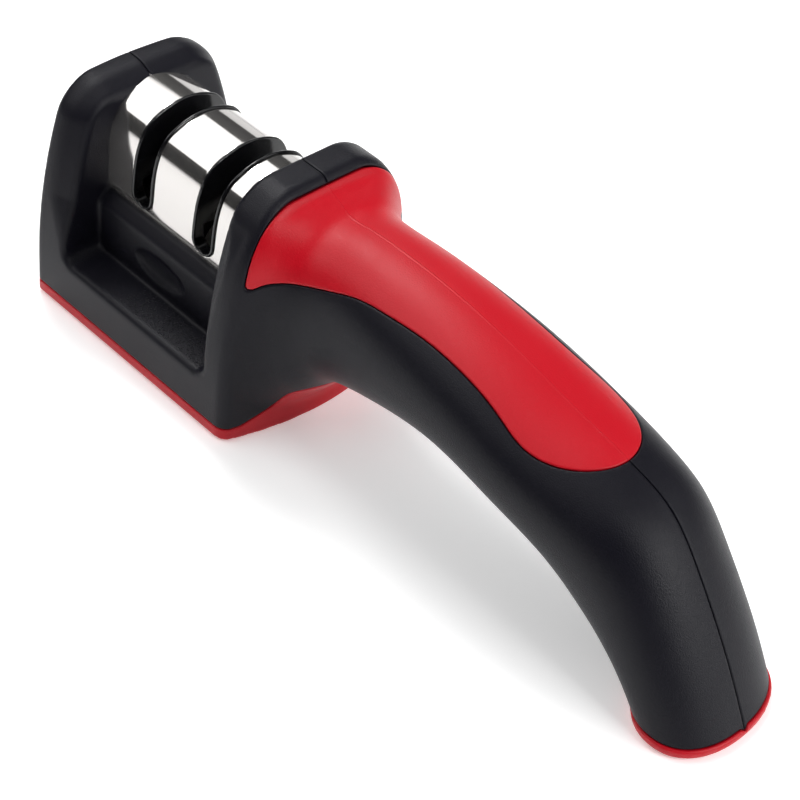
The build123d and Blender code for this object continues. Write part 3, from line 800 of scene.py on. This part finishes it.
# Steel cover.  Polished stainless sheet, half a millimetre thick, bent over the housing, with a
# window for each knife slot.
cover_foot = (13.1, 22.0)
cover_bend = (12.05, 43.0)
cover_crown = 48.5
cover_bend_radius = 3.6
cover_ends = (-27.4, 23.2)
cover_thickness = 0.5
cover_crease = 40
cover_reach = 0.005
slot_middles = (-11.7, 7.4)
slot_half = 2.5
slot_bottom = 28.9
liner_wall = 0.7
window_play = 0.08
window_edge = 0.12
window_rows = (0.0, 0.04, 0.12)
window_closeness = 0.003
profile_middle = (0, 0, 30.0)
profile_start = 10.0
profile_turn = 2.3
profile_rays = 480
profile_rounds = 30
profile_step = 0.7
profile_spare = 0.5
sheet_rows = 170
sheet_columns = 120
steel_colour = (0.66, 0.638, 0.62, 1)
steel_metal = 0.93


def cover_field(y, z):
    """Distance from the steel cover's outer face, seen from the end of the head."""
    side_length = math.dist(cover_foot, cover_bend)
    side_y = (cover_bend[1] - cover_foot[1]) / side_length
    side_z = (cover_foot[0] - cover_bend[0]) / side_length
    side = (np.abs(y) - cover_foot[0]) * side_y + (z - cover_foot[1]) * side_z
    rise = cover_crown - cover_bend[1]
    radius = (cover_bend[0] ** 2 + rise**2) / (2 * rise)
    crown = np.hypot(y, z - cover_crown + radius) - radius
    return rounded_meet(side, crown, cover_bend_radius)


def slot_field(points, middle, half, bottom):
    """Distance from a knife slot: upright walls and a round bottom."""
    x = points[:, 0] - middle
    z = points[:, 2] - bottom - half
    return np.hypot(x, np.minimum(z, 0)) - half


def cover_outward(points):
    """The direction straight out of the steel cover."""
    def field(places):
        return cover_field(places[:, 1], places[:, 2])
    slope = field_slope(field, points, cover_reach)
    return slope / np.linalg.norm(slope, axis=1)[:, None]


turn = np.linspace(-profile_turn, profile_turn, profile_rays)
ray = np.stack([np.zeros_like(turn), np.sin(turn), np.cos(turn)], axis=1)
profile = np.array(profile_middle) + ray * profile_start
for _ in range(profile_rounds):
    profile += ray * -cover_field(profile[:, 1], profile[:, 2])[:, None] * profile_step
profile = profile[profile[:, 2] > cover_foot[1] - profile_spare]
lengths = np.concatenate([[0], np.cumsum(np.linalg.norm(np.diff(profile, axis=0), axis=1))])
even = np.linspace(0, lengths[-1], sheet_rows)
profile = np.stack([np.interp(even, lengths, profile[:, axis]) for axis in range(3)], axis=1)
columns = np.linspace(cover_ends[0], cover_ends[1], sheet_columns)
sheet = profile[:, None] + np.array([1.0, 0, 0]) * columns[None, :, None]
rows, across = sheet.shape[:2]
corner = (np.arange(rows - 1)[:, None] * across + np.arange(across - 1)).ravel()
a, b, c, d = corner, corner + 1, corner + across + 1, corner + across
sheet_faces = np.concatenate([np.stack([a, b, c], axis=1), np.stack([a, c, d], axis=1)])
sheet_points = sheet.reshape(-1, 3)


def window_measure(points):
    """How far a point is from the nearest window's edge."""
    half = slot_half + liner_wall + window_play
    bottom = slot_bottom - liner_wall - window_play
    return np.minimum(*[slot_field(points, middle, half, bottom) for middle in slot_middles])


for level in window_rows:
    sheet_points, sheet_faces = split_along(
        sheet_points, sheet_faces, window_measure, level, window_closeness
    )
sheet_points, sheet_faces = keep_faces(
    sheet_points, sheet_faces, window_measure(sheet_points)[sheet_faces].mean(axis=1) > 0
)
sheet_outward = cover_outward(sheet_points)
inward = np.clip(window_edge - window_measure(sheet_points), 0, window_edge)
sheet_drop = window_edge - np.sqrt(window_edge**2 - inward**2)
sheet_points = sheet_points - sheet_outward * sheet_drop[:, None]

steel_finish, nodes, shader = new_finish("polished_steel")
set_inputs(shader, {"Base Color": steel_colour, "Metallic": steel_metal})
smear = nodes.new("ShaderNodeTexNoise")
set_inputs(smear, {"Scale": 90.0, "Detail": 5.0})
gloss = nodes.new("ShaderNodeMapRange")
set_inputs(gloss, {"To Min": 0.05, "To Max": 0.14})
place = nodes.new("ShaderNodeTexCoord")
link_nodes(steel_finish.node_tree, (
    (place, "Object", smear, "Vector"),
    (smear, "Fac", gloss, "Value"),
    (gloss, "Result", shader, "Roughness"),
))
piece = add_piece(
    "steel_cover_sheet", *thick_skin(sheet_points, sheet_faces, sheet_outward, cover_thickness),
    steel_finish, cover_crease,
)
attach(piece, "body")
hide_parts("steel_cover")

# Slot liners.  Glossy black plastic, a trough through each window whose lip stands proud of the
# steel and guides the blade.
liner_proud = 0.5
liner_edge = 0.25
liner_top_of_window = 33.1
liner_window_half = 10.2
liner_low = (-3.6, -13.9, 27.6)
liner_high = (3.6, 13.9, 49.6)
liner_step = 0.42
liner_rounds = (2, 0)
liner_crease = 60
liner_black = (0.004, 0.004, 0.005)
liner_black_pale = (0.006, 0.006, 0.007)

gloss_finish = moulded_finish(
    "glossy_black_plastic", liner_black, liner_black_pale, gloss=0.10, gloss_change=0.10,
    grains=1500.0, grain_depth=0.00001, shine=0.5,
)


def liner_field(points):
    """Distance from a liner that stands in the middle plane of its slot."""
    hollow = slot_field(points, 0, slot_half, slot_bottom)
    outer = hollow - liner_wall
    wall = rounded_meet(outer, -hollow, liner_edge)
    top = cover_field(points[:, 1], points[:, 2]) - liner_proud
    lip = rounded_meet(wall, top, liner_edge)
    below = np.maximum(np.abs(points[:, 1]) - liner_window_half, points[:, 2] - liner_top_of_window)
    return rounded_meet(lip, -below, liner_edge)


liner_points, liner_quads = moulded_net(
    liner_field, liner_low, liner_high, liner_step, liner_rounds
)
for stage, middle in zip(("coarse", "fine"), slot_middles):
    piece = add_piece(
        stage + "_liner_trough", liner_points + (middle, 0, 0), liner_quads, gloss_finish,
        liner_crease,
    )
    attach(piece, "body")
    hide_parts(stage + "_slot_liner")

# Sparked patches.  On the recess floor, next to the rear plate, the mould was left with a coarse
# sparked texture: low grains of the same black plastic, strewn over a patch on each side.  The
# grains are coloured paler than the shells' black, which is a painted sheen on them.
patch_from = (-5.0, 16.8)
patch_to = (20.6, 23.6)
patch_grain = 0.19
patch_grain_least = (0.5, 0.5, 0.5)
patch_grain_most = (1.3, 1.3, 1.0)
patch_flatness = 0.7
patch_density = 2.4
patch_seed = 7
# Painted sheen: these blacks are paler than the shells' black, standing in for the light that this
# floor catches.
patch_sheen_black = (0.013, 0.013, 0.016)
patch_sheen_pale = (0.024, 0.024, 0.028)

sparked_sheen_finish = moulded_finish(
    "sparked_black_painted_sheen", patch_sheen_black, patch_sheen_pale, gloss=0.30, gloss_change=0.16,
    grains=shell_grains, grain_depth=shell_grain_depth, shine=0.17,
)


def finish_tree(tree, given, made, placed):
    """The end of every growth: real geometry, smooth, with its material."""
    real = tree.nodes.new("GeometryNodeRealizeInstances")
    smooth = tree.nodes.new("GeometryNodeSetShadeSmooth")
    painted = tree.nodes.new("GeometryNodeSetMaterial")
    link_nodes(tree, (
        (placed, "Instances", real, "Geometry"),
        (real, "Geometry", smooth, "Geometry"),
        (smooth, "Geometry", painted, "Geometry"),
        (given, "Material", painted, "Material"),
        (painted, "Geometry", made, "Geometry"),
    ))


def grown_piece(name, points, faces, tree, values):
    """An object whose mesh a Geometry Nodes tree grows on points and faces in millimetres."""
    mesh = bpy.data.meshes.new(name)
    mesh.from_pydata((np.asarray(points) * mm).tolist(), [], faces)
    piece = bpy.data.objects.new(name, mesh)
    bpy.context.scene.collection.objects.link(piece)
    modifier = piece.modifiers.new("growth", "NODES")
    modifier.node_group = tree
    for socket in tree.interface.items_tree:
        if socket.in_out == "INPUT" and socket.name in values:
            modifier[socket.identifier] = values[socket.name]
    grown = piece.evaluated_get(bpy.context.evaluated_depsgraph_get())
    grown_mesh = bpy.data.meshes.new_from_object(grown)
    piece.modifiers.remove(modifier)
    piece.data = grown_mesh
    grown_mesh.name = name
    return piece


patch_tree, nodes, given, made = new_tree("sparked_patch", "Geometry", {
    "Geometry": "Geometry", "Grain radius": "Float", "Flatness": "Float", "Density": "Float",
    "Seed": "Int", "Material": "Material",
}, {"Geometry": "Geometry"})
strewn = nodes.new("GeometryNodeDistributePointsOnFaces")
grain = nodes.new("GeometryNodeMeshIcoSphere")
flattened = nodes.new("ShaderNodeCombineXYZ")
set_inputs(flattened, {"X": 1.0, "Y": 1.0})
low_grain = nodes.new("GeometryNodeTransform")
grain_size = nodes.new("FunctionNodeRandomValue")
grain_size.data_type = "FLOAT_VECTOR"
set_inputs(grain_size, {0: patch_grain_least, 1: patch_grain_most})
placed = nodes.new("GeometryNodeInstanceOnPoints")
link_nodes(patch_tree, (
    (given, "Geometry", strewn, "Mesh"),
    (given, "Density", strewn, "Density"),
    (given, "Seed", strewn, "Seed"),
    (given, "Seed", grain_size, "Seed"),
    (given, "Grain radius", grain, "Radius"),
    (given, "Flatness", flattened, "Z"),
    (grain, "Mesh", low_grain, "Geometry"),
    (flattened, "Vector", low_grain, "Scale"),
    (strewn, "Points", placed, "Points"),
    (low_grain, "Geometry", placed, "Instance"),
    (grain_size, 0, placed, "Scale"),
))
finish_tree(patch_tree, given, made, placed)

patch_corners = []
for side in (-1, 1):
    for x, y in ((0, 0), (1, 0), (1, 1), (0, 1)):
        across = (patch_from[1], patch_to[1])[y] * side
        patch_corners.append(((patch_from[0], patch_to[0])[x], across, recess_floor))
piece = grown_piece("recess_patches", patch_corners, [(0, 1, 2, 3), (7, 6, 5, 4)], patch_tree, {
    "Grain radius": patch_grain * mm, "Flatness": patch_flatness,
    "Density": patch_density / mm**2, "Seed": patch_seed, "Material": sparked_sheen_finish,
})
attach(piece, "body")

# Screws.  Small zinc plated pan head screws with a cross recess and a coarse thread for plastic.
# Six hold the base plate from below, and four hold the keeper down on the cradle.
head_radius = 1.9
head_height = 1.3
head_dome = 0.35
head_rows = (0.04, 0.92, 12)
head_shoulder = 0.55
head_chamfer = 0.1
shank_radius = 1.0
shank_length = 8.0
thread_from = 0.4
thread_to = 6.8
thread_depth = 0.18
thread_pitch = 0.8
thread_flank = 0.35
tip_radii = (0.6, 0.05)
tip_height = 0.3
cross_reach = 1.0
cross_half = 0.25
cross_depth = 0.7
cross_slope = 0.12
screw_turns = 36
screw_seed = 11
screw_crease = 35
base_screw_places = [(x, y) for x in (-24.6, 24.6) for y in (-19.4, 19.4)]
base_screw_places += [(-18.5, 0), (14.2, 0)]
keeper_screw_places = [(x, y) for x in (-18.5, 14.2) for y in (-8, 8)]


# Marks on metal: a fine height, and a slow mask of where it is duller
metal_marks, nodes, given, made = new_tree(
    "metal_marks", "Shader", {"Marks per metre": "Float", "Stretch": "Vector"},
    {"Height": "Float", "Dullness": "Float"},
)
place = nodes.new("ShaderNodeTexCoord")
stretched = nodes.new("ShaderNodeVectorMath")
stretched.operation = "MULTIPLY"
lines = nodes.new("ShaderNodeTexNoise")
set_inputs(lines, {"Detail": 4.0})
slow = nodes.new("ShaderNodeTexNoise")
set_inputs(slow, {"Scale": 400.0})
link_nodes(metal_marks, (
    (place, "Object", stretched, 0),
    (given, "Stretch", stretched, 1),
    (stretched, "Vector", lines, "Vector"),
    (given, "Marks per metre", lines, "Scale"),
    (place, "Object", slow, "Vector"),
    (lines, "Fac", made, "Height"),
    (slow, "Fac", made, "Dullness"),
))


def metal_finish(name, colour, gloss, marks, stretch, depth):
    """A bare or plated metal with its marks and uneven gloss."""
    finish, nodes, shader = new_finish(name)
    set_inputs(shader, {"Base Color": (*colour, 1), "Metallic": 1.0})
    marked = nodes.new("ShaderNodeGroup")
    marked.node_tree = metal_marks
    set_inputs(marked, {"Marks per metre": marks, "Stretch": stretch})
    rough = nodes.new("ShaderNodeMapRange")
    set_inputs(rough, {"To Min": gloss[0], "To Max": gloss[1]})
    bump = nodes.new("ShaderNodeBump")
    set_inputs(bump, {"Distance": depth})
    link_nodes(finish.node_tree, (
        (marked, "Dullness", rough, "Value"),
        (rough, "Result", shader, "Roughness"),
        (marked, "Height", bump, "Height"),
        (bump, "Normal", shader, "Normal"),
    ))
    return finish


def screw_rows():
    """The screw's outline, from the middle of the head's top to the tip, as radius and height."""
    radii = head_radius * np.linspace(*head_rows)
    rows = [(radius, head_height - head_dome * (radius / head_radius) ** 2) for radius in radii]
    rows += [(head_radius, head_height * head_shoulder), (head_radius, head_chamfer)]
    rows += [(head_radius - head_chamfer, 0.0), (shank_radius, 0.0)]
    root = shank_radius - thread_depth
    depth = -thread_from
    while depth > -thread_to:
        rows += [(root, depth), (shank_radius, depth - thread_pitch * thread_flank)]
        rows.append((root, depth - thread_pitch * thread_flank * 2))
        depth -= thread_pitch
    rows.append((shank_radius * tip_radii[0], tip_height - shank_length))
    return rows + [(tip_radii[1], -shank_length)]


rows = np.array(screw_rows())
angle = np.linspace(0, 2 * math.pi, screw_turns, endpoint=False)
across = rows[:, :1] * np.cos(angle)
along = rows[:, :1] * np.sin(angle)
height = np.repeat(rows[:, 1:], screw_turns, axis=1)
for a, b in ((across, along), (along, across)):
    inside = np.minimum(cross_half - np.abs(a), cross_reach - np.abs(b)) / cross_slope
    in_cross = np.clip(inside, 0, 1) * (height > head_height - head_dome)
    height = np.minimum(height, head_height - cross_depth * in_cross)
screw_points = np.stack([across, along, height], axis=-1).reshape(-1, 3)
first = (np.arange(len(rows) - 1)[:, None] * screw_turns + np.arange(screw_turns)).ravel()
turned = np.where((first + 1) % screw_turns == 0, first + 1 - screw_turns, first + 1)
screw_faces = np.stack([first, first + screw_turns, turned + screw_turns, turned], axis=1)
screw_faces = screw_faces.tolist() + [list(range(screw_turns))]
screw_faces.append(list(range(len(screw_points) - 1, len(screw_points) - 1 - screw_turns, -1)))
screw_mesh = bpy.data.meshes.new("one_screw")
screw_mesh.from_pydata((screw_points * mm).tolist(), [], screw_faces)
one_screw = bpy.data.objects.new("one_screw", screw_mesh)
bpy.context.scene.collection.objects.link(one_screw)

screw_tree, nodes, given, made = new_tree("screw_set", "Geometry", {
    "Geometry": "Geometry", "Screw": "Object", "Tilt": "Float", "Seed": "Int",
    "Material": "Material",
}, {"Geometry": "Geometry"})
shape = nodes.new("GeometryNodeObjectInfo")
spin = nodes.new("FunctionNodeRandomValue")
set_inputs(spin, {3: 2 * math.pi})
facing = nodes.new("ShaderNodeCombineXYZ")
placed = nodes.new("GeometryNodeInstanceOnPoints")
link_nodes(screw_tree, (
    (given, "Screw", shape, "Object"),
    (given, "Seed", spin, "Seed"),
    (given, "Tilt", facing, "X"),
    (spin, 1, facing, "Z"),
    (given, "Geometry", placed, "Points"),
    (shape, "Geometry", placed, "Instance"),
    (facing, "Vector", placed, "Rotation"),
))
finish_tree(screw_tree, given, made, placed)

zinc_finish = metal_finish(
    "zinc_plated_steel", (0.55, 0.56, 0.58), gloss=(0.25, 0.45), marks=3000.0,
    stretch=(1, 1, 1), depth=0.00001,
)
for node, places, tilt in (
    ("base_screws", base_screw_places, math.pi), ("keeper_screws", keeper_screw_places, 0.0),
):
    low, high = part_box(node)
    seat = low[2] / mm + head_height if tilt else high[2] / mm - head_height
    piece = grown_piece(node + "_cross", [(x, y, seat) for x, y in places], [], screw_tree, {
        "Screw": one_screw, "Tilt": tilt, "Seed": screw_seed, "Material": zinc_finish,
    })
    piece.data.set_sharp_from_angle(angle=math.radians(screw_crease))
    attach(piece, "body")
    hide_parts(node)
bpy.data.objects.remove(one_screw)


def dress(node, finish):
    """Gives a solid of the model its finish."""
    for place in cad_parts[node].material_slots:
        place.material = finish


# Base plate, cradle and keeper.  Grey ABS mouldings inside the head: the plate closes it from
# below, the cradle carries the two axles, and the keeper holds them down.
inner_finish = moulded_finish(
    "grey_inner_plastic", (0.10, 0.10, 0.11), (0.14, 0.14, 0.15), gloss=0.45, gloss_change=0.20,
    grains=2600.0, grain_depth=0.00004, shine=0.5,
)
for node in ("base_plate", "wheel_cradle", "axle_keeper"):
    dress(node, inner_finish)

# Axles and washers.  Ground steel pins, each with a thin stamped washer at either end.
axle_finish = metal_finish(
    "ground_steel", (0.62, 0.62, 0.63), gloss=(0.18, 0.34), marks=9000.0,
    stretch=(1, 0.05, 0.05), depth=0.000006,
)
for stage in ("coarse", "fine"):
    dress(stage + "_axle", axle_finish)
    dress(stage + "_washers", axle_finish)

# Wheels.  The coarse pair is steel with diamond grit held in nickel, and the fine pair is fired
# ceramic.  Each wheel turns on a plain white nylon bush that is pressed into it.
grit_size = 5200.0
grit_depth = 0.00008
grit_pale = (0.42, 0.41, 0.38, 1)
grit_dark = (0.12, 0.115, 0.10, 1)

grit_finish, nodes, shader = new_finish("diamond_grit")
set_inputs(shader, {"Roughness": 0.38, "Metallic": 0.7})
place = nodes.new("ShaderNodeTexCoord")
grit = nodes.new("ShaderNodeTexVoronoi")
set_inputs(grit, {"Scale": grit_size})
tone = nodes.new("ShaderNodeMapRange")
set_inputs(tone, {"From Max": 0.6})
paint = nodes.new("ShaderNodeMix")
paint.data_type = "RGBA"
set_inputs(paint, {"A": grit_pale, "B": grit_dark})
bump = nodes.new("ShaderNodeBump")
bump.invert = True
set_inputs(bump, {"Distance": grit_depth})
link_nodes(grit_finish.node_tree, (
    (place, "Object", grit, "Vector"),
    (grit, "Distance", tone, "Value"),
    (tone, "Result", paint, "Factor"),
    (paint, "Result", shader, "Base Color"),
    (grit, "Distance", bump, "Height"),
    (bump, "Normal", shader, "Normal"),
))
ceramic_finish = moulded_finish(
    "fired_ceramic", (0.62, 0.60, 0.56), (0.78, 0.76, 0.71), gloss=0.55, gloss_change=0.15,
    grains=6000.0, grain_depth=0.00004, shine=0.5,
)
nylon_finish = moulded_finish(
    "white_nylon", (0.76, 0.75, 0.70), (0.84, 0.83, 0.78), gloss=0.35, gloss_change=0.15,
    grains=1800.0, grain_depth=0.00002, shine=0.5,
)
for stage, finish in (("coarse", grit_finish), ("fine", ceramic_finish)):
    for end in ("front", "rear"):
        dress(f"{stage}_{end}_wheel", finish)
        dress(f"{stage}_{end}_bush", nylon_finish)
